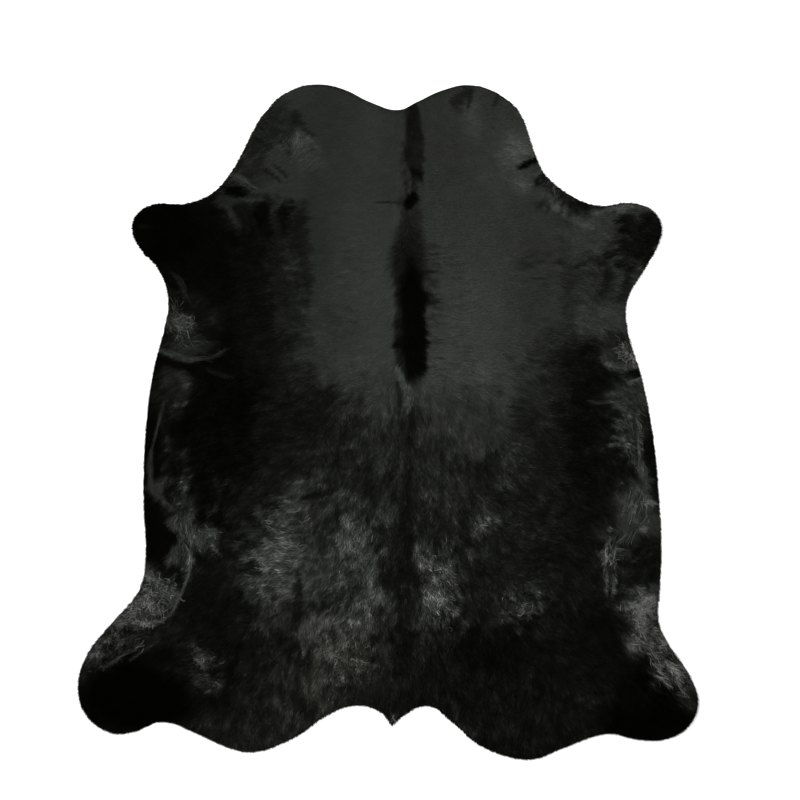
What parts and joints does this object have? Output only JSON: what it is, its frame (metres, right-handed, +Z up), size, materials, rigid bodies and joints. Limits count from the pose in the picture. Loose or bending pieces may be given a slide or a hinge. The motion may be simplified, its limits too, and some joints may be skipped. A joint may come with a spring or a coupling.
{
  "type": "cowhide rug",
  "caption": "Flat whole-hide rug with short dyed hair, rounded neck and leg lobes, a pointed tail and soft folds along the flanks.",
  "frame": {"origin": "middle of the outline's box, on the ground under the hide", "axes": "+X across the hide, +Y along the spine towards the neck, +Z up out of the hair"},
  "size_m": [2.02, 2.2014, 0.0187],
  "materials": {
    "hair_side": "short black dyed hair lying flat, silky along the spine and matt on the belly",
    "flesh_side": "dark sueded flesh side and cut edge"
  },
  "bodies": {
    "root": {"hide": "hair_side"}
  },
  "joints": []
}
